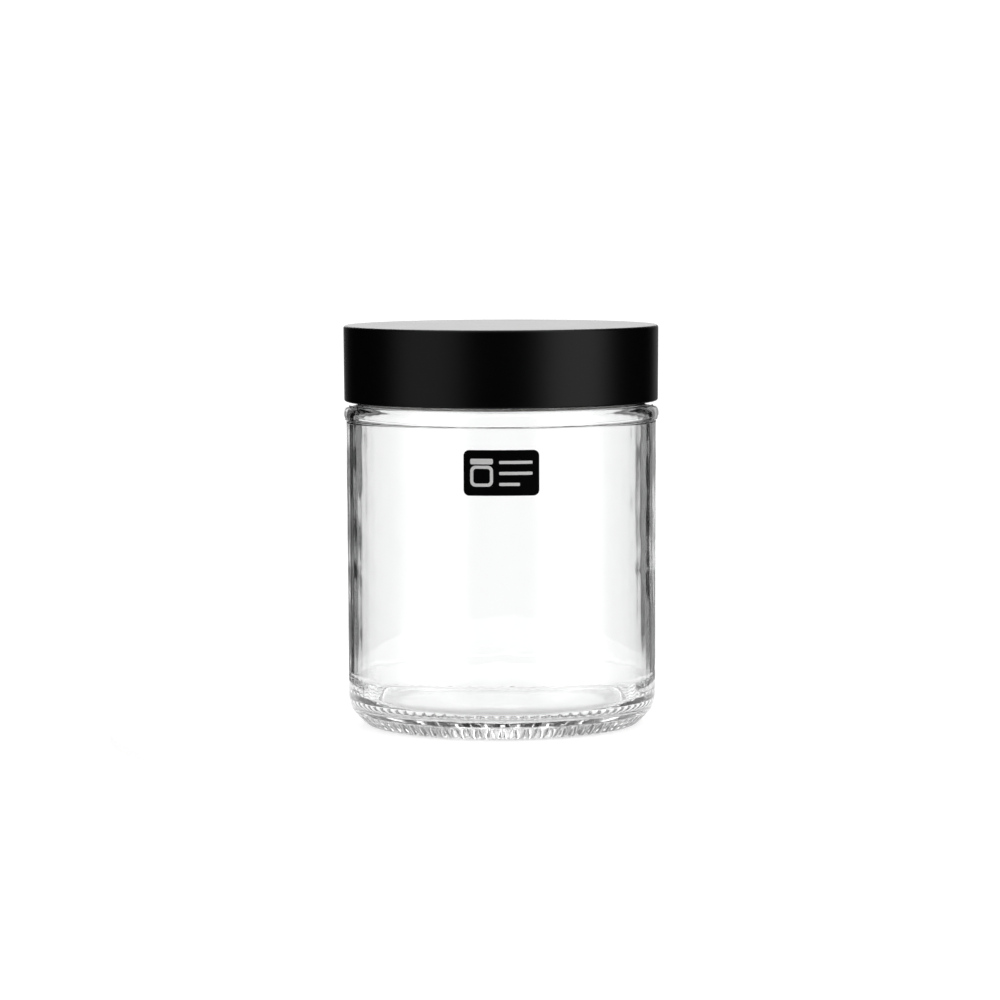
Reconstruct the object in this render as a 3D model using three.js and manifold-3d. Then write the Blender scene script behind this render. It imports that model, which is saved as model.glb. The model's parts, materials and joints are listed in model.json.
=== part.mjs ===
// A wide-mouth glass jar with a tall black screw lid, built as its separate pieces.
// Millimetres, +Z up. The origin is the centre of the ring that the jar stands on,
// and the label faces -Y.

import * as THREE from "three";
import { mergeVertices } from "three/addons/utils/BufferGeometryUtils.js";
import Module from "manifold-3d";

const wasm = await Module();
wasm.setup();

// Driving dimensions ---------------------------------------------------------

// Glass body
const bodyRadius = 49.3; // outside, just under the bead
const wallTaper = 0.3; // how much narrower the wall is where the heel starts
const wallThickness = 2.8; // under the shoulder
const lowWallThickness = 1.7; // just above the heel
const thinningHeight = 50; // below which the wall grows thinner
const shoulderHeight = 101.6; // standing ring to the flat top of the shoulder
const beadCurve = 3.2; // radius of the bead's rounding
const beadDrop = 2.8; // shoulder to the bead's widest line
const beadProjection = 0.87; // how far the bead stands out from the wall
const innerShoulderHeight = 5.8; // over which the bore narrows from the body to the neck

// Heel, knurled ring and base
const heelRadius = 12.5; // curve between the wall and the knurled ring
const heelStartHeight = 10; // where that curve leaves the wall
const knurlHeight = 4.3;
const knurlRibs = 78;
const knurlDepth = 0.8; // from a rib's crest to the groove beside it
const grooveFloorGap = 0.3; // from a groove's bottom to the plain wall that the ring is joined to
const footInset = 5.8; // body radius less the radius at the ribs' lower ends
const footRise = 0.35; // small rise from the standing ring to the ribs' lower ends
const footRound = 1.3; // width of that rise
const footRingWidth = 2;
const puntHeight = 2.2; // hollow under the base, at its centre
const puntSlopeWidth = 1.6; // sloping edge of the hollow, just inside the standing ring
const puntCrownShare = 0.85; // what is left of the hollow's height half-way out
const puntEdgeShare = 0.45; // and in the middle of its sloping edge
const floorThickness = 4.1; // glass between the hollow and the inner floor
const floorFillet = 5; // inner curve between the floor and the wall

// Finish: the neck with its lip and thread
const finishHeight = 20.15; // shoulder to lip
const neckSetback = 4; // body radius less neck radius
const neckWall = 3;
const lipRound = 0.9;
const neckFillet = 0.9; // outside, between the shoulder and the neck
const neckFilletStart = -110; // degrees: a little past the flat, so that the fillet meets the shoulder
const threadStarts = 3;
const threadPitch = 4; // axial distance between neighbouring threads
const threadSweep = 150; // degrees that each thread runs
const threadHeight = 1.2;
const threadBaseWidth = 2;
const threadCrestWidth = 0.9;
const threadFade = 22.5; // degrees over which a thread's end fades into the wall
const threadEndShare = 0.15; // what is left of its height at the very end, inside the wall
const threadRootDepth = 0.4; // how deep a thread's root is buried in its wall
const threadOffset = 1.9; // how far the threads lie below the middle of the neck inside the lid

// Lid
const lidGap = 1.15; // shoulder to the lid's lower edge
const lidDraft = 0.17; // how much narrower the lid is at its lower edge
const lidTopRound = 0.9;
const lidBottomRound = 0.6;
const shellWall = 1.1;
const shellTop = 1.3;
const shellFillet = 0.6; // inside, under the top
const hemHeight = 1.2; // inward hem that holds the insert in the shell
const hemDepth = 1.05;
const hemChamfer = 0.4;
const insertWall = 1.3;
const insertTop = 1.5;
const insertFillet = 0.4;
const insertEdge = 0.8; // slanted edge round its top
const linerThickness = 1.2;

// Label
const labelWidth = 23.2;
const labelHeight = 14;
const labelCorner = 1.7;
const labelThickness = 0.25;
const labelDrop = 18.4; // shoulder to the label's centre

// Clearances between pieces
const seatGap = 0.3; // liner on the lip, liner in the insert
const shellGap = 0.35; // insert in the shell, all round and above
const threadClearance = 0.5; // crest of one thread to the root of the other
const flankClearance = 0.4; // lid thread under glass thread
const linerClearance = 0.45; // liner's rim to the insert's wall
const labelGap = 0.3;

// Fineness of the round shapes
const segments = 60;
const degreesPerSegment = 360 / segments;
const labelStrips = 10; // between its rounded sides

// Worked-out dimensions ------------------------------------------------------

const heelWallRadius = bodyRadius - wallTaper;
const boreRadius = bodyRadius - wallThickness;
const lowBoreRadius = heelWallRadius - lowWallThickness;
const neckRadius = bodyRadius - neckSetback;
const neckBore = neckRadius - neckWall;
const lipHeight = shoulderHeight + finishHeight;
const innerFloor = puntHeight + floorThickness;
const glassCrestRadius = neckRadius + threadHeight;
const insertBore = glassCrestRadius + threadClearance;
const insertCrestRadius = neckRadius + threadClearance;
const insertRadius = insertBore + insertWall;
const shellBore = insertRadius + shellGap;
const lidBottomRadius = shellBore + shellWall;
const lidRadius = lidBottomRadius + lidDraft;
const lidBottom = shoulderHeight + lidGap;
const insertBottom = lidBottom + hemHeight + shellGap;
const linerBottom = lipHeight + seatGap;
const linerTop = linerBottom + linerThickness;
const insertCeiling = linerTop + seatGap;
const insertHeight = insertCeiling + insertTop;
const shellCeiling = insertHeight + shellGap;
const lidTop = shellCeiling + shellTop;
const threadLead = threadPitch * threadStarts;
const threadRise = (threadLead * threadSweep) / 360;

// How far the lid's thread lies below the glass thread: half of each thread's width where
// they pass each other, and the clearance between their flanks.
const threadOverlap = (threadHeight - threadClearance) / threadHeight;
const lidThreadDrop =
  threadCrestWidth +
  ((threadBaseWidth - threadCrestWidth) * threadOverlap) / 2 +
  flankClearance;

// Height of the middle of a glass thread's upper end.
const threadTop =
  (lipHeight + insertBottom + threadRise + lidThreadDrop) / 2 - threadOffset;

// Geometry helpers -----------------------------------------------------------

// Points along an arc in the radius-height plane, angles in degrees from the radius axis.
function arc(centreRadius, centreHeight, radius, from, to, steps) {
  return Array.from({ length: steps + 1 }, (_, i) => {
    const angle = THREE.MathUtils.degToRad(from + ((to - from) * i) / steps);
    return [centreRadius + radius * Math.cos(angle), centreHeight + radius * Math.sin(angle)];
  });
}

// Shared vertices become one, and triangles that have shrunk to a line are dropped.
function weld(geometry) {
  geometry.deleteAttribute("normal");
  geometry.deleteAttribute("uv");
  const welded = mergeVertices(geometry, 1e-4);
  const index = welded.getIndex().array;
  const kept = [];
  for (let i = 0; i < index.length; i += 3) {
    const [a, b, c] = index.slice(i, i + 3);
    if (a !== b && b !== c && c !== a) kept.push(a, b, c);
  }
  welded.setIndex(kept);
  return welded;
}

// A solid of revolution about Z from [radius, height] points, listed counter-clockwise.
function revolve(profile) {
  const points = profile.map(([radius, height]) => new THREE.Vector2(radius, height));
  return weld(new THREE.LatheGeometry(points, segments).rotateX(Math.PI / 2));
}

// A closed ring or bar: one closed loop of points per station, joined side to side.
// A ring joins its last station to its first; a bar gets a cap at each end.
function loft(stations, isRing) {
  const count = stations[0].length;
  const index = [];
  const spans = isRing ? stations.length : stations.length - 1;
  for (let i = 0; i < spans; i += 1) {
    const here = i * count;
    const next = ((i + 1) % stations.length) * count;
    for (let j = 0; j < count; j += 1) {
      const k = (j + 1) % count;
      index.push(here + j, next + j, next + k, here + j, next + k, here + k);
    }
  }
  if (!isRing) {
    const last = (stations.length - 1) * count;
    for (let j = 1; j < count - 1; j += 1) {
      index.push(0, j, j + 1, last, last + j + 1, last + j);
    }
  }
  const geometry = new THREE.BufferGeometry();
  geometry.setAttribute("position", new THREE.Float32BufferAttribute(stations.flat(2), 3));
  geometry.setIndex(index);
  return geometry;
}

// A point at an angle about Z, counted from the front (-Y) towards +X.
function around(degrees, radius, height) {
  const angle = THREE.MathUtils.degToRad(degrees);
  return [radius * Math.sin(angle), -radius * Math.cos(angle), height];
}

function toSolid(geometry) {
  return new wasm.Manifold(
    new wasm.Mesh({
      numProp: 3,
      vertProperties: new Float32Array(geometry.getAttribute("position").array),
      triVerts: new Uint32Array(geometry.getIndex().array),
    }),
  );
}

function join(base, additions) {
  const mesh = additions.reduce((sum, part) => sum.add(toSolid(part)), toSolid(base)).getMesh();
  const geometry = new THREE.BufferGeometry();
  geometry.setAttribute("position", new THREE.Float32BufferAttribute(mesh.vertProperties, 3));
  geometry.setIndex(Array.from(mesh.triVerts));
  return geometry;
}

// One right-hand helical thread. It grows from its buried root radius to its crest radius,
// and fades into the wall at both ends.
function helicalThread(rootRadius, crestRadius, startAngle, startHeight) {
  const steps = Math.round(threadSweep / degreesPerSegment);
  const stations = [];
  for (let i = 0; i <= steps; i += 1) {
    const turned = i * degreesPerSegment;
    const fromEnd = Math.min(turned, threadSweep - turned);
    const growth = THREE.MathUtils.clamp(fromEnd / threadFade, threadEndShare, 1);
    const crest = rootRadius + (crestRadius - rootRadius) * growth;
    const middle = startHeight + (threadRise * turned) / threadSweep;
    const section = [
      [rootRadius, middle - threadBaseWidth / 2],
      [crest, middle - threadCrestWidth / 2],
      [crest, middle + threadCrestWidth / 2],
      [rootRadius, middle + threadBaseWidth / 2],
    ];
    if (crestRadius < rootRadius) section.reverse();
    stations.push(section.map(([radius, height]) => around(startAngle + turned, radius, height)));
  }
  return loft(stations, false);
}

function threadSet(rootRadius, crestRadius, upperEndHeight) {
  const startHeight = upperEndHeight - threadRise;
  return Array.from({ length: threadStarts }, (_, i) =>
    helicalThread(rootRadius, crestRadius, (360 * i) / threadStarts, startHeight),
  );
}

// Glass jar ------------------------------------------------------------------

// Where the heel's curve meets the top of the knurled ring.
const heelDrop = heelStartHeight - knurlHeight;
const heelAngle = THREE.MathUtils.radToDeg(Math.asin(heelDrop / heelRadius));
const heelLineRadius =
  heelWallRadius - heelRadius + Math.sqrt(heelRadius ** 2 - heelDrop ** 2);
const footRadius = bodyRadius - footInset;
const grooveDepth = knurlDepth + grooveFloorGap;

// The bead is one arc, from where it leaves the wall to the flat of the shoulder.
function beadProfile() {
  const from = THREE.MathUtils.radToDeg(Math.acos((beadCurve - beadProjection) / beadCurve));
  const to = THREE.MathUtils.radToDeg(Math.asin(beadDrop / beadCurve));
  const centre = bodyRadius + beadProjection - beadCurve;
  return arc(centre, shoulderHeight - beadDrop, beadCurve, -from, to, 6);
}

// Inside, the neck's bore widens to the body's in an S of two equal curves.
function innerShoulder() {
  const top = shoulderHeight + neckFillet;
  const steps = 4;
  return Array.from({ length: steps + 1 }, (_, i) => {
    const share = (1 - Math.cos((Math.PI * i) / steps)) / 2;
    const radius = neckBore + (boreRadius - neckBore) * share;
    return [radius, top - (innerShoulderHeight * i) / steps];
  });
}

function glassJar() {
  const ringInside = footRadius - footRound - footRingWidth;
  const outside = [
    [0, puntHeight],
    [ringInside / 2, puntHeight * puntCrownShare],
    [ringInside - puntSlopeWidth / 2, puntHeight * puntEdgeShare],
    [footRadius - grooveDepth, footRise + grooveFloorGap],
    [heelLineRadius - grooveDepth, knurlHeight - grooveFloorGap],
    ...arc(heelWallRadius - heelRadius, heelStartHeight, heelRadius, -heelAngle, 0, 4),
    ...beadProfile(),
    ...arc(neckRadius + neckFillet, shoulderHeight + neckFillet, neckFillet, neckFilletStart, -180, 2),
    ...arc(neckRadius - lipRound, lipHeight - lipRound, lipRound, 0, 90, 3),
  ];
  const inside = [
    ...arc(neckBore + lipRound, lipHeight - lipRound, lipRound, 90, 180, 3),
    ...innerShoulder(),
    [boreRadius, thinningHeight],
    ...arc(lowBoreRadius - floorFillet, innerFloor + floorFillet, floorFillet, 0, -90, 4),
    [0, innerFloor],
  ];
  const wall = revolve([...outside, ...inside]);

  const halfRib = 180 / knurlRibs;
  const stations = Array.from({ length: knurlRibs * 2 }, (_, i) => {
    const cut = i % 2 === 0 ? 0 : knurlDepth;
    return [
      [ringInside, 0],
      [ringInside + footRingWidth, 0],
      [footRadius - cut, footRise],
      [heelLineRadius - cut, knurlHeight],
      [footRadius - grooveDepth, knurlHeight],
    ].map(([radius, height]) => around(i * halfRib, radius, height));
  });
  const knurl = loft(stations, true);

  const threads = threadSet(neckRadius - threadRootDepth, glassCrestRadius, threadTop);
  return join(wall, [knurl, ...threads]);
}

// Lid ------------------------------------------------------------------------

function sealingLiner() {
  const radius = insertBore - linerClearance;
  const chamfer = linerThickness / 4;
  return revolve([
    [0, linerBottom],
    [radius - chamfer, linerBottom],
    [radius, linerBottom + chamfer],
    [radius, linerTop - chamfer],
    [radius - chamfer, linerTop],
    [0, linerTop],
  ]);
}

function threadInsert() {
  const cup = revolve([
    [0, insertCeiling],
    [insertBore - insertFillet, insertCeiling],
    [insertBore, insertCeiling - insertFillet],
    [insertBore, insertBottom + insertFillet],
    [insertBore + insertFillet, insertBottom],
    [insertRadius, insertBottom],
    [insertRadius, insertHeight - insertEdge],
    [insertRadius - insertEdge, insertHeight],
    [0, insertHeight],
  ]);
  const threads = threadSet(
    insertBore + threadRootDepth,
    insertCrestRadius,
    threadTop - lidThreadDrop,
  );
  return join(cup, threads);
}

function lidShell() {
  const hemRadius = shellBore - hemDepth;
  const bottomCentre = lidBottomRadius - lidBottomRound;
  return revolve([
    [0, shellCeiling],
    [shellBore - shellFillet, shellCeiling],
    [shellBore, shellCeiling - shellFillet],
    [shellBore, lidBottom + hemHeight],
    [hemRadius, lidBottom + hemHeight - hemChamfer],
    [hemRadius, lidBottom + hemChamfer],
    [hemRadius + hemChamfer, lidBottom],
    ...arc(bottomCentre, lidBottom + lidBottomRound, lidBottomRound, -90, 0, 3),
    ...arc(lidRadius - lidTopRound, lidTop - lidTopRound, lidTopRound, 0, 90, 4),
    [0, lidTop],
  ]);
}

// Label ----------------------------------------------------------------------

// A thin rounded rectangle wrapped round the wall, made of upright strips. A strip's ends
// follow the corner arcs near the label's sides.
function frontLabel() {
  const centreHeight = shoulderHeight - labelDrop;
  const inner = bodyRadius + labelGap;
  const halfWidth = labelWidth / 2;
  const straight = halfWidth - labelCorner;
  const corner = [0, 30, 60, 90].map((a) => THREE.MathUtils.degToRad(a));
  const right = corner.map((a) => [
    straight + labelCorner * Math.sin(a),
    labelHeight / 2 - labelCorner + labelCorner * Math.cos(a),
  ]);
  const middle = Array.from({ length: labelStrips - 1 }, (_, i) => [
    -straight + (2 * straight * (i + 1)) / labelStrips,
    labelHeight / 2,
  ]);
  const left = right.map(([x, z]) => [-x, z]).reverse();
  const stations = [...left, ...middle, ...right].map(([across, reach]) => {
    const degrees = THREE.MathUtils.radToDeg(across / inner);
    return [
      around(degrees, inner + labelThickness, centreHeight - reach),
      around(degrees, inner + labelThickness, centreHeight + reach),
      around(degrees, inner, centreHeight + reach),
      around(degrees, inner, centreHeight - reach),
    ];
  });
  return loft(stations, false);
}

// Assembly -------------------------------------------------------------------

function piece(name, geometry, look) {
  const mesh = new THREE.Mesh(geometry, new THREE.MeshStandardMaterial(look));
  mesh.name = name;
  return mesh;
}

const jar = new THREE.Group();
jar.add(
  piece("glass_jar", glassJar(), {
    color: 0xe8eeee,
    roughness: 0.03,
    metalness: 0,
    transparent: true,
    opacity: 0.35,
  }),
  piece("front_label", frontLabel(), { color: 0x101010, roughness: 0.5, metalness: 0 }),
);

const lid = new THREE.Group();
lid.add(
  piece("sealing_liner", sealingLiner(), { color: 0xe6e4dc, roughness: 0.8, metalness: 0 }),
  piece("thread_insert", threadInsert(), { color: 0x1a1a1b, roughness: 0.45, metalness: 0 }),
  piece("lid_shell", lidShell(), { color: 0x0c0c0d, roughness: 0.35, metalness: 0 }),
);

const specimenJar = new THREE.Group();
specimenJar.add(jar, lid);

export default specimenJar;
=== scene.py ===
import json
import math

import bpy
import numpy as np
from bpy.props import FloatProperty, FloatVectorProperty, IntProperty, PointerProperty
from mathutils import Matrix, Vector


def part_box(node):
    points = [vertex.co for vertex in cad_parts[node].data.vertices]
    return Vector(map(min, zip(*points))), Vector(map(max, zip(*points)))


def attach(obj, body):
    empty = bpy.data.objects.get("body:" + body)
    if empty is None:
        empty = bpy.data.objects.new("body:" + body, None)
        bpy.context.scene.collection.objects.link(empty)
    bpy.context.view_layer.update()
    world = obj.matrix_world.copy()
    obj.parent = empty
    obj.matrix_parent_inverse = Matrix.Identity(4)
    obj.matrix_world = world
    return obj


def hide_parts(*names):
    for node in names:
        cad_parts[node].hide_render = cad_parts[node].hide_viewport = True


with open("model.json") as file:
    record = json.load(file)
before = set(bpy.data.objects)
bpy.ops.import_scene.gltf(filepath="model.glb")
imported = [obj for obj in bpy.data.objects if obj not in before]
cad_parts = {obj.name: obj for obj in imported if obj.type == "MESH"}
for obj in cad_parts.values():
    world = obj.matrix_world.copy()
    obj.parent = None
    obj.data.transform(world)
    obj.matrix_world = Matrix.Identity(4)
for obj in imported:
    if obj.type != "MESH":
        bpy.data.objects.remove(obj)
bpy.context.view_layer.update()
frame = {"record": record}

bl_info = {
    "name": "Screw-lid glass jar",
    "version": (1, 0, 0),
    "blender": (4, 5, 0),
    "location": "3D View > Sidebar > Jar",
    "description": "Makes a clear glass jar with a ribbed foot, a label and a black screw lid",
    "category": "Add Mesh",
}

# The CAD model's box and its nodes' boxes, in metres. Everything is placed from these.
GLASS_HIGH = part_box("glass_jar")[1]
LABEL_LOW, LABEL_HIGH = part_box("front_label")
LINER_LOW, LINER_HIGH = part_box("sealing_liner")
INSERT_LOW, INSERT_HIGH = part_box("thread_insert")
SHELL_LOW, SHELL_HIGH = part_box("lid_shell")

MM = 0.001
FULL_TURN = 2 * math.pi

# Longest spans between points of an outline: on the ribs, the neck, the inner wall, the outer wall,
# the lid's thread, plain straights, and the table
RIB_SPAN = 0.38 * MM
NECK_SPAN = 0.6 * MM
INSIDE_SPAN = 3.2 * MM
OUTSIDE_SPAN = 12 * MM
THREAD_SPAN = 0.35 * MM
PLAIN_SPAN = 6 * MM
TABLE_SPAN = 40 * MM

# Steps round the axis
SHELL_STEPS = 384
INSERT_STEPS = 360
LINER_STEPS = 256
TABLE_STEPS = 180
TENT_STEPS = 96

# Where a groove and the rib beside it have their points, as shares of one rib's width, with the
# middle of the groove at 0
RIB_PHASES = (0, 0.06, 0.14, 0.27, 0.5, 0.73, 0.86, 0.94)

# A surface within this distance of a radius counts as being on it
CLOSE = 0.01 * MM

# Thickness of the ink, and the gaps under the film and under the ink
INK_THICKNESS = 0.02 * MM
FILM_GAP = 0.015 * MM
INK_GAP = 0.004 * MM

# The screw, the same for the glass and the lid, from the model's own joints.
THREAD_STARTS = 3
THREAD_LEAD = FULL_TURN * next(
    c["ratio"] for c in frame["record"]["behaviour"]["couplings"] if c["joint"] == "lid_rise"
)


def length(title, text, default_mm, low_mm=0.0, high_mm=200.0):
    """A size in metres, shown in the scene's units. Its default is given in millimetres."""
    return FloatProperty(
        name=title, description=text, default=default_mm * MM, unit="LENGTH",
        min=low_mm * MM, max=high_mm * MM, precision=5,
    )


def tint(title, text, default):
    """A colour that a user would change."""
    return FloatVectorProperty(
        name=title, description=text, default=default, subtype="COLOR", size=3, min=0.0, max=1.0,
    )


def share(title, text, default, high=1.0):
    """A plain number from 0 up."""
    return FloatProperty(name=title, description=text, default=default, min=0.0, max=high)


# Sizes and colours that a user would change ----------------------------------


class JarGlassSizes(bpy.types.PropertyGroup):
    """Sizes and colour of the glass jar"""

    wall: length("Wall", "Thickness of the wall under the shoulder", 2.8)
    taper: length("Taper", "How much narrower the wall is where the heel starts", 0.3)
    shoulder: length("Shoulder height", "From the standing ring to the shoulder", 101.6)
    bead_curve: length("Bead curve", "Radius of the bead's rounding", 3.2)
    bead_drop: length("Bead drop", "From the shoulder to the bead's widest line", 2.8)
    bead_out: length("Bead projection", "How far the bead stands out from the wall", 0.87)
    bead_fillet: length("Bead fillet", "Hollow curve where the bead meets the wall", 1.0)
    heel_curve: length("Heel curve", "Radius between the wall and the ribs", 12.5)
    heel_start: length("Heel start", "Height where the heel leaves the wall", 10.0)
    rib_top: length("Rib top", "Height of the ribs' upper ends", 4.3)
    rib_count: IntProperty(name="Ribs", description="Ribs round the foot", default=78, min=12, max=90)
    rib_depth: length("Rib depth", "Depth of the grooves at the ribs' lower ends", 1.1)
    foot_inset: length("Foot inset", "Wall radius less the radius of the foot's edge", 5.8)
    foot_rise: length("Foot rise", "From the standing ring to the foot's edge", 0.35)
    ring_inset: length("Ring inset", "Foot's edge to the ring that the jar stands on", 1.3)
    ring_width: length("Ring width", "Width of the ring that the jar stands on", 2.0)
    punt: length("Punt", "Hollow under the base, at its centre", 2.2)
    floor: length("Floor", "Glass between the punt and the inner floor", 4.1)
    floor_fillet: length("Floor fillet", "Inner curve between the floor and the wall", 5.0)
    neck_setback: length("Neck setback", "Wall radius less the neck's radius", 4.0)
    neck_wall: length("Neck wall", "Thickness of the neck", 3.0)
    neck_fillet: length("Neck fillet", "Outside curve between the shoulder and the neck", 0.9)
    lip_round: length("Lip rounding", "Radius of the lip's edges", 1.2)
    low_wall: length("Low wall", "Thickness of the wall just above the heel", 1.7)
    thinning: length("Thinning", "Height under which the wall grows thinner", 50.0)
    waviness: length("Waviness", "How far the inner wall wanders in and out", 0.05)
    ripple: length("Ripple", "Height of the fine ripples on the inner wall", 0.03)
    colour: tint("Glass colour", "Tint of the glass", (0.99, 0.993, 0.993))


class LabelSizes(bpy.types.PropertyGroup):
    """Sizes and colours of the label"""

    corner: length("Corner", "Radius of the corners", 1.8)
    thickness: length("Thickness", "Thickness of the film", 0.12)
    stroke: length("Stroke", "Width of the printed lines", 0.95)
    film: tint("Film", "Colour of the film", (0.0008, 0.0008, 0.0009))
    ink: tint("Ink", "Colour of the print", (1.0, 1.0, 0.99))


class LidSizes(bpy.types.PropertyGroup):
    """Sizes and colours of the lid's three pieces"""

    draft: length("Draft", "How much narrower the shell is at its lower edge", 0.17)
    top_round: length("Top rounding", "Radius of the shell's top edge", 0.9)
    bottom_round: length("Bottom rounding", "Radius of the shell's lower edge", 0.6)
    shell_wall: length("Shell wall", "Thickness of the shell's side", 1.1)
    shell_top: length("Shell top", "Thickness of the shell's top", 1.3)
    hem_height: length("Hem height", "Height of the inward hem", 1.2)
    hem_depth: length("Hem depth", "How far the hem reaches inwards", 1.05)
    insert_wall: length("Insert wall", "Thickness of the insert's side", 1.3)
    insert_top: length("Insert top", "Thickness of the insert's top", 1.5)
    lip_mark: length("Lip mark", "Depth of the ring that the lip has pressed into the liner", 0.15)
    shell_colour: tint("Shell colour", "Satin black", (0.0012, 0.0011, 0.0012))
    insert_colour: tint("Insert colour", "Inner cup", (0.012, 0.012, 0.013))
    liner_colour: tint("Liner colour", "Foam disc", (0.74, 0.72, 0.66))


class ThreadSizes(bpy.types.PropertyGroup):
    """Sizes of the screw thread, the same on the glass and in the lid"""

    height: length("Height", "How far a thread stands out", 1.2)
    width: length("Width", "Width of a thread at its root", 2.0)
    below_lip: length("Below the lip", "The lip to the upper end of the glass threads", 7.315)
    lid_drop: length("Lid drop", "How far the lid's threads lie under the glass threads", 1.62)
    sweep: FloatProperty(
        name="Sweep", description="How far round each thread runs", default=math.radians(150),
        unit="ROTATION",
    )
    fade: FloatProperty(
        name="Fade", description="How far round a thread's end takes to fade", unit="ROTATION",
        default=math.radians(22.5),
    )


class StageSettings(bpy.types.PropertyGroup):
    """Camera, table top and light tent"""

    distance: length("Distance", "Camera to the jar's axis", 1197.0, 100.0, 5000.0)
    eye: length("Eye height", "Camera above the table top", 168.7, 0.0, 2000.0)
    aside: length("Aside", "Camera to the right of the jar's axis", -0.46, -100.0, 100.0)
    tilt: FloatProperty(
        name="Tilt", description="How far the camera looks down", default=math.radians(4.67),
        unit="ROTATION",
    )
    roll: FloatProperty(
        name="Roll", description="Turn of the camera about its own axis", unit="ROTATION",
        default=math.radians(-0.2),
    )
    lens: share("Lens", "Focal length in millimetres", 135.9, 400.0)
    table: length("Table radius", "Radius of the round table top", 125.0, 60.0, 2000.0)
    tent: length("Tent radius", "Radius of the light tent", 3000.0, 1000.0, 20000.0)
    backdrop: share("Backdrop", "Brightness behind the jar", 1.15, 5.0)
    left_box: share("Left box", "Brightness of the soft box at the left", 0.66, 5.0)
    right_box: share("Right box", "Brightness of the soft box at the right", 1.3, 5.0)
    overhead: share("Overhead", "Brightness overhead", 1.0, 5.0)


SETTINGS = {
    "jar_glass": JarGlassSizes,
    "jar_thread": ThreadSizes,
    "jar_label": LabelSizes,
    "jar_lid": LidSizes,
    "jar_stage": StageSettings,
}


# Outlines in the radius-height plane ------------------------------------------


def arc(centre, radius, start, end, steps):
    """Points on a circle, centre + radius * (cos, sin), from angle start to end in degrees, where
    0 points away from the axis and 90 up."""
    angle = np.radians(np.linspace(start, end, steps + 1))
    return np.column_stack([centre[0] + radius * np.cos(angle), centre[1] + radius * np.sin(angle)])


def rounded(corners, steps=6, margin=0.06 * MM):
    """Points along straight lines through the corners (radius, height, rounding). A corner's arc
    touches both lines at rounding / tan(half the angle between them), and one more point on each
    side, a margin away, keeps the shading of the straight lines flat."""
    points = [corners[0][:2]]
    for before, corner, after in zip(corners, corners[1:], corners[2:]):
        at = np.array(corner[:2])
        back = (np.array(before[:2]) - at) / math.dist(before[:2], at)
        ahead = (np.array(after[:2]) - at) / math.dist(after[:2], at)
        half = math.acos(max(-1.0, min(1.0, float(back @ ahead)))) / 2
        reach = corner[2] / math.tan(half)
        centre = at + (back + ahead) / np.linalg.norm(back + ahead) * corner[2] / math.sin(half)
        start = at + back * reach - centre
        end = at + ahead * reach - centre
        turn = math.pi - 2 * half
        t = np.linspace(0, 1, steps + 1)[:, None]
        bend = (np.sin((1 - t) * turn) * start + np.sin(t * turn) * end) / math.sin(turn)
        points += [centre + start + back * margin, *(centre + bend), centre + end + ahead * margin]
    return np.array([*points, corners[-1][:2]])


def filled(outline, longest):
    """The outline with its long straights cut into equal parts no longer than longest."""
    size = np.hypot(*np.diff(outline, axis=0).T)
    parts = np.maximum(1, np.ceil(size / longest)).astype(int)
    index = np.repeat(np.arange(len(parts)), parts)
    first = np.cumsum(parts) - parts
    t = ((np.arange(len(index)) - first[index]) / parts[index])[:, None]
    return np.vstack([outline[index] * (1 - t) + outline[index + 1] * t, outline[-1:]])


def normals_of(outline):
    """Unit normals of an outline that has its material on the left: its tangent turned clockwise."""
    tangent = np.gradient(outline, axis=0)
    tangent /= np.linalg.norm(tangent, axis=1, keepdims=True)
    return np.column_stack([tangent[:, 1], -tangent[:, 0]])


def smooth_step(low, high, value):
    """0 below low, 1 above high, and an S curve t * t * (3 - 2 * t) between them."""
    t = np.clip((value - low) / (high - low), 0, 1)
    return t * t * (3 - 2 * t)


# Surfaces ----------------------------------------------------------------------


def mesh_object(name, vertices, faces, smooth=True):
    """A mesh object at the origin from arrays of vertices and lists of faces."""
    mesh = bpy.data.meshes.new(name)
    mesh.from_pydata(vertices.reshape(-1, 3), [], faces)
    mesh.polygons.foreach_set("use_smooth", np.full(len(mesh.polygons), smooth))
    mesh.update()
    made = bpy.data.objects.new(name, mesh)
    bpy.context.scene.collection.objects.link(made)
    return made


def even_turn(steps):
    """Evenly spaced angles round the axis."""
    return np.arange(steps) * (FULL_TURN / steps)


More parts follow.
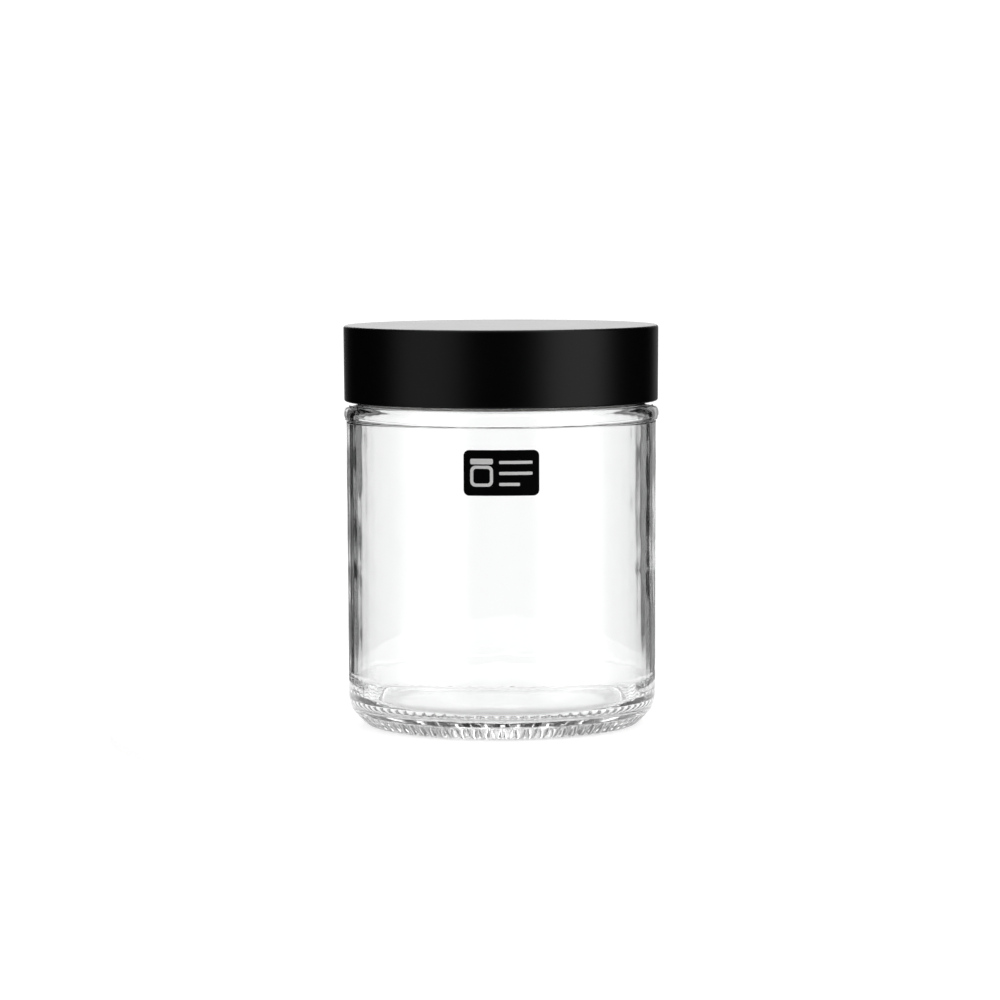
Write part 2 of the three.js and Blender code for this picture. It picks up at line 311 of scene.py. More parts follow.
def revolved(name, outline, angles, push=None, fine=None):
    """A solid of revolution. The outline runs from the axis to the axis with the material on its
    left. A point (radius, height) at angle a, counted from the front towards the right, lies at
    (radius * sin a, -radius * cos a, height), moved by push along the outline's normal. push is an
    array with a row for each angle and a column for each point of the outline. If fine is given,
    only that slice of the outline has a point at every angle, and the rest has every second one."""
    count = len(outline)
    if push is None:
        push = np.zeros((1, count))
    moved = outline + push[:, :, None] * normals_of(outline)
    radius, height = np.moveaxis(np.broadcast_to(moved, (len(angles), count, 2)), 2, 0)
    a = angles[:, None]
    grid = np.stack([radius * np.sin(a), -radius * np.cos(a), height], axis=2)
    every = np.arange(len(angles))[:, None] * count
    second = every if fine is None else every[::2]
    wide = np.ones(count, bool)
    if fine is not None:
        wide[fine] = False

    def side(rows, columns):
        here, there = rows, np.roll(rows, -1, axis=0)
        quads = [here + columns, there + columns, there + columns + 1, here + columns + 1]
        return np.stack(quads, axis=2).reshape(-1, 4).tolist()

    j = np.arange(1, count - 2)
    faces = side(second, j[wide[j] & wide[j + 1]]) + side(every, j[~wide[j] & ~wide[j + 1]])
    i, k = second.ravel(), np.roll(second.ravel(), -1)
    if fine is not None:
        m = every[1::2].ravel()
        low, high = fine.start, fine.stop
        joint = [i + low - 1, k + low - 1, k + low, m + low, i + low]
        faces += np.column_stack(joint).tolist()
        joint = [i + high - 1, m + high - 1, k + high - 1, k + high, i + high]
        faces += np.column_stack(joint).tolist()
    last = count - 1
    faces += np.column_stack([np.zeros_like(i), k + 1, i + 1]).tolist()
    faces += np.column_stack([i + last - 1, k + last - 1, np.full_like(i, last)]).tolist()
    used, index = np.unique(np.concatenate([np.ravel(face) for face in faces]), return_inverse=True)
    ends = np.cumsum([len(face) for face in faces])[:-1]
    vertices = grid.reshape(-1, 3)[used]
    return mesh_object(name, vertices, [part.tolist() for part in np.split(index, ends)])


def thread_ridges(angles, heights, top, thread, rise):
    """How far the screw ridges stand out at each angle and height. A ridge's middle line climbs by
    the lead in a turn and ends at height top. Across it the ridge is a flat crest with an S curve
    on each side, and along it both ends fade out."""
    ridge = np.zeros((len(angles), len(heights)))
    for start in range(THREAD_STARTS):
        turned = (angles[:, None] - start * FULL_TURN / THREAD_STARTS) % FULL_TURN
        middle = top + THREAD_LEAD * (turned - thread.sweep) / FULL_TURN
        across = np.abs(heights - middle) / (thread.width / 2)
        end = np.minimum(turned, thread.sweep - turned)
        ridge = np.maximum(ridge, (1 - smooth_step(0.4, 1.05, across)) * smooth_step(0, thread.fade, end))
    return rise * ridge


def wall_points(across, height, lift):
    """Points on the glass wall, lift above it: a distance across from the front becomes the angle
    across / radius, and the radius follows the wall's taper with the height."""
    glass = bpy.context.scene.jar_glass
    wall_radius = GLASS_HIGH.x - glass.bead_out
    share_down = (glass.shoulder - height) / (glass.shoulder - glass.heel_start)
    radius = wall_radius - glass.taper * share_down
    angle = across / wall_radius
    outer = radius + lift
    return np.stack([outer * np.sin(angle), -outer * np.cos(angle), height], axis=-1)


def wall_plate(across, low, high, lift, thickness, rows=6):
    """A thin plate on the wall: vertices and faces. across holds distances from the front, and low
    and high the heights of the plate's ends there, with straight rows of points between them."""
    v = np.linspace(0, 1, rows + 1)
    height = low[:, None] * (1 - v) + high[:, None] * v
    side = np.broadcast_to(across[:, None], height.shape)
    shells = [wall_points(side, height, lift + extra).reshape(-1, 3) for extra in (thickness, 0)]
    columns, points = height.shape
    size = columns * points
    a = (np.arange(columns - 1)[:, None] * points + np.arange(points - 1)).ravel()
    front = np.column_stack([a, a + points, a + points + 1, a + 1])
    rim = np.concatenate([
        np.arange(columns) * points,
        (columns - 1) * points + np.arange(1, points),
        np.arange(columns - 2, -1, -1) * points + points - 1,
        np.arange(points - 2, 0, -1),
    ])
    ahead = np.roll(rim, -1)
    edge = np.column_stack([rim, rim + size, ahead + size, ahead])
    return np.vstack(shells), np.vstack([front, front[:, ::-1] + size, edge])


def wall_band(outer, inner, lift, thickness):
    """A thin closed band on the wall between two loops of points (across, height) that run
    counter-clockwise: vertices and faces."""
    loops = [wall_points(*loop.T, lift + extra) for extra in (thickness, 0) for loop in (outer, inner)]
    count = len(outer)
    a = np.arange(count)
    b = np.roll(a, -1)
    walls = [(0, 1), (1, 3), (3, 2), (2, 0)]
    faces = [
        np.column_stack([a + p * count, b + p * count, b + q * count, a + q * count])
        for p, q in walls
    ]
    return np.vstack(loops), np.vstack(faces)


def rounded_columns(left, right, low, high, corner, inner=14):
    """Columns of a rounded rectangle: distances across, lower ends and upper ends. Near a side the
    ends follow the corner's circle."""
    bend = corner * (1 - np.sin(np.radians(np.linspace(0, 90, 9))))[::-1]
    middle = np.linspace(left + corner, right - corner, inner + 2)[1:-1]
    across = np.concatenate([left + bend, middle, (right - bend)[::-1]])
    inset = np.clip(np.maximum(left + corner - across, across - right + corner), 0, corner)
    cut = corner - np.sqrt(np.maximum(corner ** 2 - inset ** 2, 0))
    return across, low + cut, high - cut


def rounded_loop(left, right, low, high, corner, steps=6):
    """A rounded rectangle as one counter-clockwise loop of points (across, height), with as many
    points on each straight as on each corner."""
    middles = [
        (right - corner, low + corner), (right - corner, high - corner),
        (left + corner, high - corner), (left + corner, low + corner),
    ]
    bends = [arc(at, corner, 90 * (i - 1), 90 * i, steps) for i, at in enumerate(middles)]
    t = np.linspace(0, 1, steps + 1)[1:-1, None]
    loop = []
    for bend, following in zip(bends, bends[1:] + bends[:1]):
        loop += [bend, bend[-1] * (1 - t) + following[0] * t]
    return np.vstack(loop)


def merged(parts):
    """Several (vertices, faces) as one."""
    counts = np.cumsum([0] + [len(vertices) for vertices, _ in parts])
    vertices = np.vstack([vertices for vertices, _ in parts])
    return vertices, np.vstack([faces + count for (_, faces), count in zip(parts, counts)])


# Shader maths --------------------------------------------------------------------


class Signal:
    """A shader socket that stands in a formula. Each operator adds one Math node."""

    def __init__(self, shader, socket):
        self.shader = shader
        self.socket = socket

    def math(self, operation, *values):
        return self.shader.node("ShaderNodeMath", {"operation": operation}, dict(enumerate(values)))

    def __add__(self, other):
        return self.math("ADD", self, other)

    __radd__ = __add__

    def __rsub__(self, other):
        return self.math("SUBTRACT", other, self)

    def __mul__(self, other):
        return self.math("MULTIPLY", self, other)

    def __truediv__(self, other):
        return self.math("DIVIDE", self, other)

    def arcsine(self):
        return self.math("ARCSINE", self)

    def angle_from(self, other):
        """The angle whose tangent is this over other."""
        return self.math("ARCTAN2", self, other)


class Shader:
    """The node tree of a new material, with an empty output."""

    def __init__(self, name):
        self.material = bpy.data.materials.new(name)
        self.material.use_nodes = True
        self.tree = self.material.node_tree
        self.tree.nodes.clear()

    def node(self, kind, settings=None, inputs=None, output=0):
        """Adds a node: its settings first, then the values or links of its sockets. Gives the
        output asked for."""
        made = self.tree.nodes.new(kind)
        for key, value in (settings or {}).items():
            setattr(made, key, value)
        for key, value in (inputs or {}).items():
            if isinstance(value, Signal):
                self.tree.links.new(value.socket, made.inputs[key])
            else:
                made.inputs[key].default_value = value
        return Signal(self, made.outputs[output])

    def axis(self, vector, number):
        """One part of a vector: 0 is X, 1 is Y and 2 is Z."""
        return self.node("ShaderNodeSeparateXYZ", inputs={"Vector": vector}, output=number)

    def place(self):
        """The point on the object, in metres."""
        return self.node("ShaderNodeTexCoord", output="Object")

    def noise(self, size, detail=2.0, rough=0.5, at=None):
        """Noise from 0 to 1 with features about that many metres across."""
        inputs = {"Vector": at or self.place(), "Scale": 1 / size, "Detail": detail, "Roughness": rough}
        return self.node("ShaderNodeTexNoise", inputs=inputs)

    def step(self, value, low, high, start=0.0, end=1.0):
        """start below low, end above high, and an S curve between them."""
        inputs = {"Value": value, "From Min": low, "From Max": high, "To Min": start, "To Max": end}
        return self.node("ShaderNodeMapRange", {"interpolation_type": "SMOOTHSTEP"}, inputs)

    def window(self, value, low, high, soft):
        """1 from low to high and 0 outside, with edges that take soft on either side."""
        rising = self.step(value, low - soft, low + soft)
        return rising * self.step(value, high - soft, high + soft, 1.0, 0.0)

    def blend(self, share, first, second):
        """A colour from first to second."""
        inputs = {"Factor": share, 6: (*first, 1.0), 7: (*second, 1.0)}
        return self.node("ShaderNodeMix", {"data_type": "RGBA"}, inputs, output=2)

    def bump(self, height, depth):
        """A normal for a relief of height from 0 to 1 that is depth metres deep."""
        inputs = {"Height": height, "Distance": depth, "Strength": 1.0}
        return self.node("ShaderNodeBump", inputs=inputs)

    def finish(self, kind="ShaderNodeBsdfPrincipled", **inputs):
        """Joins a surface shader to the output and gives the material. The sockets are named with
        underscores for spaces."""
        surface = self.node(kind, inputs={key.replace("_", " "): value for key, value in inputs.items()})
        out = self.tree.nodes.new("ShaderNodeOutputMaterial")
        self.tree.links.new(surface.socket, out.inputs["Surface"])
        return self.material


# Materials -----------------------------------------------------------------------


def clear_glass(colour, foot_height):
    """Moulded glass: faint waves left by the mould, a few faint smears, and a foot that is a little
    rough up to foot_height."""
    s = Shader("clear glass")
    smears = s.step(s.noise(9 * MM, 4.0, 0.6), 0.55, 0.8)
    foot = s.step(s.axis(s.place(), 2), foot_height - 0.2 * MM, foot_height, 1.0, 0.0)
    waves = s.noise(7 * MM, 2.0)
    streaks = s.noise(1.0, 3.0, at=s.node("ShaderNodeMapping", inputs={
        "Vector": s.place(), "Scale": (1 / (3 * MM), 1 / (3 * MM), 1 / (30 * MM))}))
    relief = s.bump(waves * 0.6 + streaks * 0.4, 0.02 * MM)
    return s.finish(
        Base_Color=s.blend(smears, colour, [c * 0.985 for c in colour]),
        Roughness=smears * 0.02 + foot * FOOT_ROUGHNESS,
        IOR=1.52,
        Transmission_Weight=1.0,
        Normal=relief,
    )


def label_film(colour):
    """Matt black film: a fine tooth, and a slight cloudiness."""
    s = Shader("label film")
    tooth = s.noise(0.15 * MM, 2.0)
    cloud = s.noise(5 * MM, 3.0)
    return s.finish(
        Base_Color=s.blend(cloud, colour, [c * 1.6 for c in colour]),
        Roughness=0.5 + tooth * 0.12,
        Normal=s.bump(tooth, 0.006 * MM),
        Specular_IOR_Level=0.05,
    )


def label_ink(colour):
    """White print, a little uneven where the ink lies thinner."""
    s = Shader("label ink")
    thin = s.noise(0.4 * MM, 3.0, 0.65)
    return s.finish(
        Base_Color=s.blend(thin, colour, [c * 0.9 for c in colour]),
        Roughness=0.42 + thin * 0.1,
        Normal=s.bump(thin, 0.004 * MM),
    )


def satin_plastic(name, colour, rough):
    """Moulded black plastic: a fine spark-eroded grain, and a sheen that varies slightly."""
    s = Shader(name)
    grain = s.noise(0.16 * MM, 3.0, 0.6)
    cloud = s.noise(14 * MM, 3.0, 0.55)
    return s.finish(
        Base_Color=s.blend(grain, [c * 0.8 for c in colour], [c * 1.3 for c in colour]),
        Roughness=rough - 0.03 + cloud * 0.04 + grain * 0.03,
        Normal=s.bump(grain, 0.003 * MM),
        Specular_IOR_Level=0.25,
    )


def liner_foam(colour):
    """Closed-cell foam: small round cells, and a little dirt in them."""
    s = Shader("liner foam")
    inputs = {"Vector": s.place(), "Scale": 1 / (0.5 * MM)}
    cells = s.node("ShaderNodeTexVoronoi", {"feature": "SMOOTH_F1"}, inputs)
    cloud = s.noise(8 * MM, 3.0)
    return s.finish(
        Base_Color=s.blend(cells * 0.6 + cloud * 0.4, colour, [c * 0.82 for c in colour]),
        Roughness=0.75 + cells * 0.15,
        Normal=s.bump(cells, 0.05 * MM),
    )


def pale_table():
    """A lit white table top, slightly uneven, with a painted contact shadow where the jar stands: inside
    the smaller radius of PAINTED_SHADOW_REACH its glow is dimmed to the share PAINTED_SHADOW_GLOW."""
    s = Shader("pale table")
    cloud = s.noise(60 * MM, 3.0)
    x, y = (s.axis(s.place(), axis) for axis in range(2))
    # Painted contact shadow: 0 under the jar, where the glow drops to PAINTED_SHADOW_GLOW, rising to 1
    # past PAINTED_SHADOW_REACH's outer radius
    clear = s.step(x * x + y * y, PAINTED_SHADOW_REACH[0] ** 2, PAINTED_SHADOW_REACH[1] ** 2)
    return s.finish(
        Base_Color=s.blend(cloud, (0.6, 0.6, 0.6), (0.56, 0.56, 0.56)),
        Roughness=0.7,
        Emission_Color=s.blend(clear, (PAINTED_SHADOW_GLOW,) * 3, (1.0, 1.0, 1.0)),
        Emission_Strength=TABLE_GLOW,
    )


def tent_light(settings):
    """The light from each direction, by its bearing and height in degrees in the tent's own space.
    Behind the jar is white, with dimmer skirts at its sides, and the flanks are black. In front
    stand two tall soft boxes, and overhead is white again."""
    s = Shader("light tent")
    x, y, z = (s.axis(s.place(), axis) for axis in range(3))
    degree = math.degrees(1)
    height = (z / settings.tent).arcsine() * degree
    behind = x.angle_from(y) * degree
    front = x.angle_from(0 - y) * degree
    upright = s.window(height, -60, 50, 5)
    high = s.step(height, 3, 9, 1.0, HIGH_GAIN)
    white = s.window(behind, *WHITE_SPAN, 2.0) * upright * high * settings.backdrop
    skirts = (
        s.window(behind, *LEFT_SKIRT[:2], 2.0) * LEFT_SKIRT[2]
        + s.window(behind, *RIGHT_SKIRT[:2], 2.0) * RIGHT_SKIRT[2]
    ) * upright
    tall = s.window(height, -30, 62, 6)
    boxes = (
        s.window(front, *LEFT_BOX, 12.0) * settings.left_box
        + s.window(front, *RIGHT_BOX, 12.0) * settings.right_box
    ) * tall
    above = s.step(height, 45, 60) * settings.overhead
    below = s.step(height, -45, -55) * settings.backdrop
    light = white + skirts + boxes + above + below + FLANK_GLOW
    return s.finish("ShaderNodeEmission", Color=light, Strength=1.0)


# How rough the jar's ribbed foot and the lid are
FOOT_ROUGHNESS = 0.03
LID_ROUGHNESS = 0.3

# How bright the parts of the stage are, and where they stand, in degrees
TABLE_GLOW = 0.8
# Share of the table's glow left in the painted contact shadow under the jar
PAINTED_SHADOW_GLOW = 0.15
HIGH_GAIN = 1.7
FLANK_GLOW = 0.005
WHITE_SPAN = (-14.0, 12.5)
LEFT_SKIRT = (-27.0, -14.0, 0.14)
RIGHT_SKIRT = (12.5, 30.0, 0.26)
LEFT_BOX = (-80.0, -30.0)
RIGHT_BOX = (32.0, 80.0)

# Where the painted contact shadow on the table fades out: the table's glow grows from its share under the
# jar to the full one
PAINTED_SHADOW_REACH = (34 * MM, 45 * MM)


# Operators -------------------------------------------------------------------------


def glass_outline(glass):
    """The jar's outline in named stretches, from the middle of the base round to the inner floor."""
    wall_radius = GLASS_HIGH.x - glass.bead_out
    lip = GLASS_HIGH.z
    heel_radius = wall_radius - glass.taper
    foot = wall_radius - glass.foot_inset
    ring_out = foot - glass.ring_inset
    ring_in = ring_out - glass.ring_width
    neck = wall_radius - glass.neck_setback
    neck_bore = neck - glass.neck_wall
    bore = wall_radius - glass.wall
    inner_floor = glass.punt + glass.floor

    drop = glass.heel_start - glass.rib_top
    heel_angle = math.degrees(math.asin(drop / glass.heel_curve))
    heel_centre = (heel_radius - glass.heel_curve, glass.heel_start)
    heel = arc(heel_centre, glass.heel_curve, -heel_angle, 0, 12)
    ledge = 0.12 * MM
    base = rounded([
        (0, glass.punt, 0),
        (ring_in * 0.55, glass.punt * 0.93, 10 * MM),
        (ring_in - 1.2 * MM, glass.punt * 0.55, 1.5 * MM),
        (ring_in, 0, 0.5 * MM),
        (ring_out, 0, 0.4 * MM),
        (foot, glass.foot_rise, 0.5 * MM),
        (heel[0, 0] - 0.3 * MM, glass.rib_top - ledge, 0.15 * MM),
        (heel[0, 0], glass.rib_top, 0),
    ], steps=4)
    ribs = base[:, 0] > ring_out
    base = np.vstack([base[~ribs], filled(base[ribs], RIB_SPAN)])

    bead_centre = (wall_radius + glass.bead_out - glass.bead_curve, glass.shoulder - glass.bead_drop)
    low = math.degrees(math.acos((glass.bead_curve - glass.bead_out) / glass.bead_curve))
    high = math.degrees(math.asin(glass.bead_drop / glass.bead_curve))
    bead = arc(bead_centre, glass.bead_curve, -low + 8, high, 14)
    below_bead = rounded([
        (*heel[-1], 0),
        (wall_radius, bead[0, 1] - 0.25 * MM, glass.bead_fillet * 1.6),
        (*bead[0], 0),
    ], steps=4)
    neck_out = rounded([
        (*bead[-1], 0),
        (neck, glass.shoulder, glass.neck_fillet),
        (neck, lip, glass.lip_round),
        ((neck + neck_bore) / 2, lip, 0),
    ], steps=6)
    beside = np.vstack([below_bead[1:], bead[bead[:, 1] <= bead_centre[1]]])[::-1]
    beside = beside[beside[:, 1] > glass.shoulder - 9 * MM] - (glass.wall, 0)
    shoulder = np.vstack([
        rounded([
            ((neck + neck_bore) / 2, lip, 0),
            (neck_bore, lip, glass.lip_round),
            (neck_bore, glass.shoulder + 0.9 * MM, 1.6 * MM),
            (beside[0, 0], glass.shoulder - 1.2 * MM, 0.9 * MM),
            (*beside[0], 0),
        ], steps=6)[:-1],
        beside,
    ])
    low_bore = heel_radius - glass.low_wall
    inside = rounded([
        (*shoulder[-1], 0),
        (bore, glass.thinning, 60 * MM),
        (low_bore, inner_floor + 2 * glass.floor_fillet, 12 * MM),
        (low_bore - 1.5 * MM, inner_floor, glass.floor_fillet),
        (0, inner_floor, 0),
    ], steps=8)
    return {
        "base": base[:-1],
        "heel": heel[:-1],
        "wall": filled(below_bead[:-1], OUTSIDE_SPAN),
        "bead": bead[:-1],
        "neck": filled(neck_out[:-1], NECK_SPAN),
        "shoulder": shoulder[:-1],
        "inside": filled(inside, INSIDE_SPAN),
    }


def stretches(parts):
    """The whole outline, and where each stretch lies in it."""
    ends = np.cumsum([0] + [len(points) for points in parts.values()])
    spans = {name: slice(a, b) for name, a, b in zip(parts, ends, ends[1:])}
    return np.vstack(list(parts.values())), spans


class JAR_OT_glass(bpy.types.Operator):
    """Make the glass jar with its ribbed foot, bead and screw neck"""

    bl_idname = "jar.glass"
    bl_label = "Glass jar"

    def execute(self, context):
        glass = context.scene.jar_glass
        thread = context.scene.jar_thread
        outline, spans = stretches(glass_outline(glass))
        ribs = np.arange(glass.rib_count)[:, None]
        angles = ((ribs + np.array(RIB_PHASES)) * (FULL_TURN / glass.rib_count)).ravel()
        push = np.zeros((len(angles), len(outline)))
        cut = self.grooves(glass, angles, outline[spans["base"]])
        push[:, spans["base"]] -= cut
        neck = outline[spans["neck"]]
        top = GLASS_HIGH.z - thread.below_lip
        neck_radius = GLASS_HIGH.x - glass.bead_out - glass.neck_setback
        outside = np.abs(neck[:, 0] - neck_radius) < CLOSE
        push[:, spans["neck"]] += outside * thread_ridges(angles, neck[:, 1], top, thread, thread.height)
        for name in ("shoulder", "inside"):
            push[:, spans[name]] += self.waves(glass, angles, outline[spans[name]])
        ribbed = slice(int(np.flatnonzero(cut.any(axis=0))[0]), spans["base"].stop + 2)
        jar = revolved("jar_glass", outline, angles, push, fine=ribbed)
        jar.data.materials.append(clear_glass(glass.colour, glass.rib_top))
        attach(jar, "jar")
        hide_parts("glass_jar")
        return {"FINISHED"}

    def grooves(self, glass, angles, outline):
        """How deep the foot is cut: rounded grooves, as ((1 + cos) / 2) to a power, narrow and
        shallow at the ribs' upper ends, wide and deep at the lower ends, and gone inside the ring."""
        radius, height = outline.T
        wall_radius = GLASS_HIGH.x - glass.bead_out
        ring_out = wall_radius - glass.foot_inset - glass.ring_inset
        up = np.clip(height / glass.rib_top, 0, 1)
        power = 0.9 + 3.6 * up
        reach = smooth_step(ring_out - 1.4 * MM, ring_out + 0.6 * MM, radius)
        start = smooth_step(glass.rib_top - 0.02 * MM, glass.rib_top - 0.3 * MM, height)
        depth = glass.rib_depth * (1 - 0.45 * up) * reach * start
        wave = (1 + np.cos(angles[:, None] * glass.rib_count)) / 2
        return depth * wave ** power

    def waves(self, glass, angles, outline):
        """The inner wall's wandering: long waves and fine ripples round and down the wall, as sums of
        sines, fading out on the floor and at the neck."""
        radius, height = outline.T
        a = angles[:, None]
        z = height / (10 * MM)
        wander = (
            np.sin(3 * a + 0.35 * z + 0.6) + 0.8 * np.sin(5 * a - 0.5 * z + 2.1)
            + 0.6 * np.sin(8 * a + 0.8 * z + 4.0) + 0.35 * np.sin(13 * a - 1.1 * z + 1.2)
        )
        ripple = (
            np.sin(17 * a + 3.7 * z + np.sin(1.3 * z)) + 0.7 * np.sin(23 * a - 5.3 * z + 1.7)
            + 0.5 * np.sin(29 * a + 8.1 * z + 2.0 * np.sin(2 * a))
        )
        full = smooth_step(0.5, 0.9, radius / radius.max())
        full = full * smooth_step(glass.shoulder - 1 * MM, glass.shoulder - 8 * MM, height)
        return full * (glass.waviness * wander + glass.ripple * ripple) / 2


class JAR_OT_label(bpy.types.Operator):
    """Make the label: a black film with a printed jar and three ruled lines"""

    bl_idname = "jar.label"
    bl_label = "Label"

    def execute(self, context):
        label = context.scene.jar_label
        radius = -LABEL_LOW.y
        half = radius * math.asin(LABEL_HIGH.x / radius)
        low, high = LABEL_LOW.z, LABEL_HIGH.z
        columns = rounded_columns(-half, half, low, high, label.corner, inner=20)
        plate = wall_plate(*columns, FILM_GAP, label.thickness)
        film = mesh_object("label_film", *self.listed(plate), False)
        film.data.materials.append(label_film(label.film))
        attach(film, "jar")
        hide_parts("front_label")

        ink = FILM_GAP + label.thickness + INK_GAP
        parts = self.pictogram(label, half, low, high, ink) + self.rules(label, half, low, high, ink)
        ink_print = mesh_object("label_print", *self.listed(merged(parts)), False)
        ink_print.data.materials.append(label_ink(label.ink))
        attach(ink_print, "jar")
        return {"FINISHED"}

    def listed(self, surface):
        """Vertices and faces, the faces as lists."""
        vertices, faces = surface
        return vertices, faces.tolist()

    def pictogram(self, label, half, low, high, lift):
        """A jar in outline under a solid lid, at the left of the label."""
        height = high - low
        left = -half + 0.09 * 2 * half
        right = left + 0.5 * height
        floor = low + 0.2 * height
        lid = low + 0.66 * height
        stroke = label.stroke
        body = rounded_loop(left, right, floor, lid, 1.6 * MM)
        hollow = rounded_loop(left + stroke, right - stroke, floor + stroke, lid - stroke, 0.9 * MM)
        cap = rounded_columns(left, right, lid + 0.4 * MM, low + 0.81 * height, 0.5 * MM)
        return [wall_band(body, hollow, lift, INK_THICKNESS), wall_plate(*cap, lift, INK_THICKNESS)]

    def rules(self, label, half, low, high, lift):
        """Three ruled lines to write on, the last one short."""
        height = high - low
        left = -half + 0.47 * 2 * half
        lines = []
        for row, reach in enumerate((1.0, 1.0, 0.62)):
            middle = high - (0.27 + 0.24 * row) * height
            right = left + reach * (half * 0.82 - left)
            ends = (left, right, middle - label.stroke / 2, middle + label.stroke / 2)
            line = rounded_columns(*ends, 0.3 * MM)
            lines.append(wall_plate(*line, lift, INK_THICKNESS, rows=1))
        return lines


class JAR_OT_lid(bpy.types.Operator):
    """Make the lid: its satin shell, the threaded cup inside it and the foam liner"""

    bl_idname = "jar.lid"
    bl_label = "Lid"

    def execute(self, context):
        lid = context.scene.jar_lid
        self.shell(lid)
        self.insert(lid, context.scene.jar_thread)
        self.liner(lid, context.scene.jar_glass)
        return {"FINISHED"}

    def shell(self, lid):
        radius = SHELL_HIGH.x
        foot, top = SHELL_LOW.z, SHELL_HIGH.z
        bottom_radius = radius - lid.draft
        bore = bottom_radius - lid.shell_wall
        hem = bore - lid.hem_depth
        ceiling = top - lid.shell_top
        outline = rounded([
            (0, ceiling, 0),
            (bore, ceiling, 0.6 * MM),
            (bore, foot + lid.hem_height, 0.2 * MM),
            (hem, foot + lid.hem_height, 0.3 * MM),
            (hem, foot, 0.4 * MM),
            (bottom_radius, foot, lid.bottom_round),
            (radius, top, lid.top_round),
            (0, top, 0),
        ], steps=8)
        shell = revolved("lid_cap", filled(outline, PLAIN_SPAN), even_turn(SHELL_STEPS))
        shell.data.materials.append(satin_plastic("lid plastic", lid.shell_colour, LID_ROUGHNESS))
        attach(shell, "lid")
        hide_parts("lid_shell")

    def insert(self, lid, thread):
        radius = INSERT_HIGH.x
        foot, top = INSERT_LOW.z, INSERT_HIGH.z
        bore = radius - lid.insert_wall
        ceiling = top - lid.insert_top
        ridge_top = GLASS_HIGH.z - thread.below_lip - thread.lid_drop
        climb = THREAD_LEAD * thread.sweep / FULL_TURN
        high, low = ridge_top + thread.width, ridge_top - climb - thread.width
        outline = np.vstack([
            rounded([(0, ceiling, 0), (bore, ceiling, 0.4 * MM), (bore, high, 0)], steps=5)[:-1],
            filled(np.array([(bore, high), (bore, low)]), THREAD_SPAN)[:-1],
            rounded([
                (bore, low, 0),
                (bore, foot, 0.4 * MM),
                (radius, foot, 0.3 * MM),
                (radius, top, 0.8 * MM),
                (0, top, 0),
            ], steps=5),
        ])
        angles = even_turn(INSERT_STEPS)
        push = thread_ridges(angles, outline[:, 1], ridge_top, thread, thread.height)
        push = push * (np.abs(outline[:, 0] - bore) < CLOSE)
        insert = revolved("inner_cup", outline, angles, push)
        insert.data.materials.append(satin_plastic("insert plastic", lid.insert_colour, 0.42))
        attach(insert, "lid")
        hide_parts("thread_insert")

    def liner(self, lid, glass):
        radius, low, high = LINER_HIGH.x, LINER_LOW.z, LINER_HIGH.z
        lip_out = GLASS_HIGH.x - glass.bead_out - glass.neck_setback
        lip_in = lip_out - glass.neck_wall
        mark = low + lid.lip_mark
        outline = rounded([
            (0, low, 0),
            (lip_in - 0.4 * MM, low, 0.3 * MM),
            (lip_in + 0.2 * MM, mark, 0.3 * MM),
            (lip_out - 0.2 * MM, mark, 0.3 * MM),
            (lip_out + 0.4 * MM, low, 0.3 * MM),
            (radius, low, 0.3 * MM),
            (radius, high, 0.3 * MM),
            (0, high, 0),
        ], steps=4)
        liner = revolved("liner_disc", filled(outline, PLAIN_SPAN), even_turn(LINER_STEPS))
        liner.data.materials.append(liner_foam(lid.liner_colour))
        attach(liner, "liner")
        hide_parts("sealing_liner")


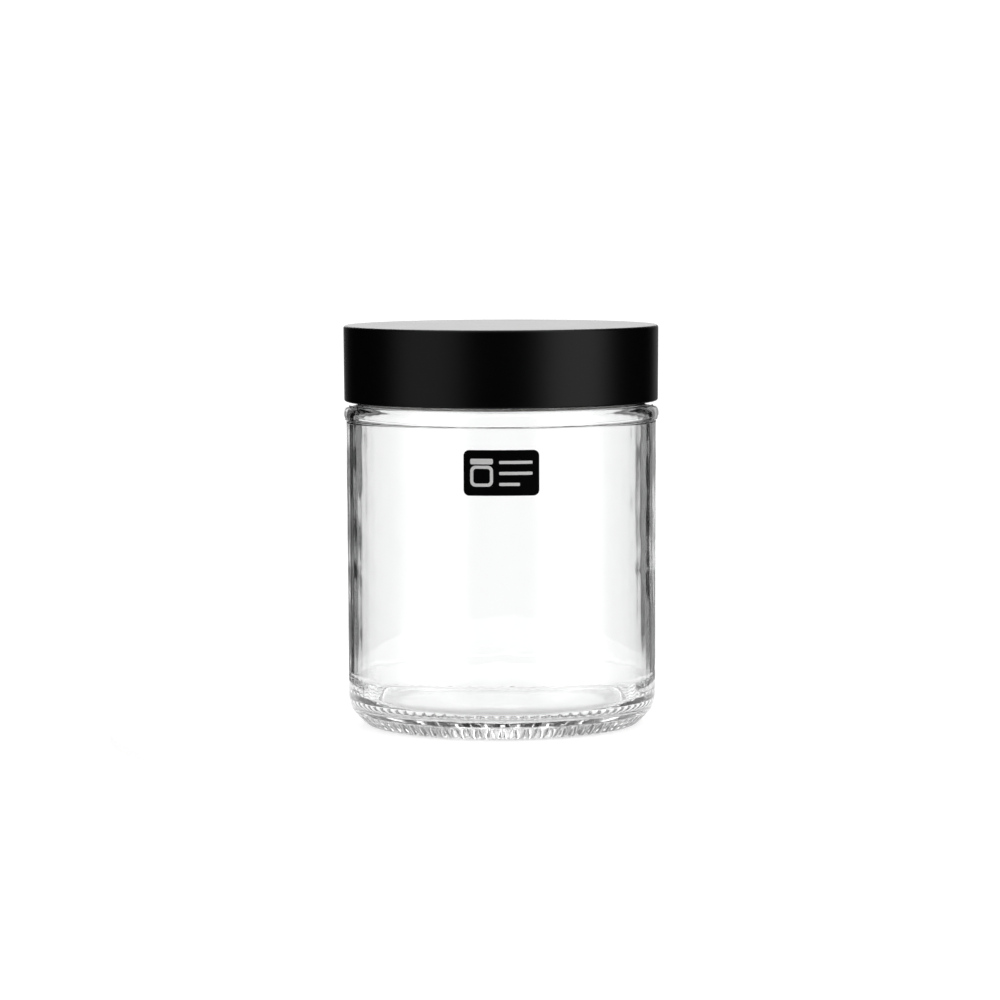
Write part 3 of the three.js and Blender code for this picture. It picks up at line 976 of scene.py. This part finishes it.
class JAR_OT_stage(bpy.types.Operator):
    """Set up the camera, the table top and the light tent"""

    bl_idname = "jar.stage"
    bl_label = "Stage"

    def execute(self, context):
        settings = context.scene.jar_stage
        camera = self.camera(settings)
        context.scene.collection.objects.link(camera)
        context.scene.camera = camera
        self.table(settings)
        self.tent(settings, camera)
        context.scene.view_settings.view_transform = "Standard"
        context.scene.view_settings.look = "None"
        cycles = context.scene.cycles
        cycles.max_bounces = 32
        cycles.transmission_bounces = 24
        cycles.glossy_bounces = 16
        cycles.caustics_refractive = True
        cycles.caustics_reflective = True
        return {"FINISHED"}

    def camera(self, settings):
        data = bpy.data.cameras.new("camera")
        data.lens = settings.lens
        data.sensor_width = 36.0
        data.clip_start = 0.05
        data.clip_end = 20.0
        camera = bpy.data.objects.new("camera", data)
        tilt = Matrix.Rotation(math.pi / 2 - settings.tilt, 4, "X")
        roll = Matrix.Rotation(settings.roll, 4, "Z")
        place = Matrix.Translation((settings.aside, -settings.distance, settings.eye))
        camera.matrix_world = place @ tilt @ roll
        return camera

    def table(self, settings):
        """A thin round table top, its upper face just under the jar."""
        upper = -0.02 * MM
        outline = rounded([
            (0, upper - 4 * MM, 0),
            (settings.table, upper - 4 * MM, 1 * MM),
            (settings.table, upper, 1 * MM),
            (0, upper, 0),
        ])
        table = revolved("table_top", filled(outline, TABLE_SPAN), even_turn(TABLE_STEPS))
        table.data.materials.append(pale_table())
        return table

    def tent(self, settings, camera):
        """A ball of light round the jar: points at radius * (cos height, sin height), revolved. It
        turns with the camera's bearing, as a studio does round a turntable."""
        outline = arc((0, 0), settings.tent, -90, 90, 48)
        tent = revolved("light_tent", outline, even_turn(TENT_STEPS))
        tent.data.flip_normals()
        tent.data.materials.append(tent_light(settings))
        turn = tent.constraints.new("COPY_ROTATION")
        turn.target = camera
        turn.use_x = False
        turn.use_y = False
        return tent


class JAR_PT_panel(bpy.types.Panel):
    """Lists what can be made and its sizes"""

    bl_idname = "JAR_PT_panel"
    bl_label = "Screw-lid glass jar"
    bl_space_type = "VIEW_3D"
    bl_region_type = "UI"
    bl_category = "Jar"

    def draw(self, context):
        for operator, groups in STEPS.items():
            self.layout.operator(operator.bl_idname)
            for group in groups:
                box = self.layout.box()
                settings = getattr(context.scene, group)
                for name in SETTINGS[group].__annotations__:
                    box.prop(settings, name)


# What is made, in order, with the settings that each step reads
STEPS = {
    JAR_OT_stage: ["jar_stage"],
    JAR_OT_glass: ["jar_glass", "jar_thread"],
    JAR_OT_label: ["jar_label"],
    JAR_OT_lid: ["jar_lid"],
}


def register():
    for kind in (*SETTINGS.values(), *STEPS, JAR_PT_panel):
        bpy.utils.register_class(kind)
    for name, kind in SETTINGS.items():
        setattr(bpy.types.Scene, name, PointerProperty(type=kind))


def unregister():
    for name in SETTINGS:
        delattr(bpy.types.Scene, name)
    for kind in reversed((*SETTINGS.values(), *STEPS, JAR_PT_panel)):
        bpy.utils.unregister_class(kind)


def main():
    register()
    for operator in STEPS:
        group, name = operator.bl_idname.split(".")
        getattr(getattr(bpy.ops, group), name)()


if __name__ == "__main__":
    main()
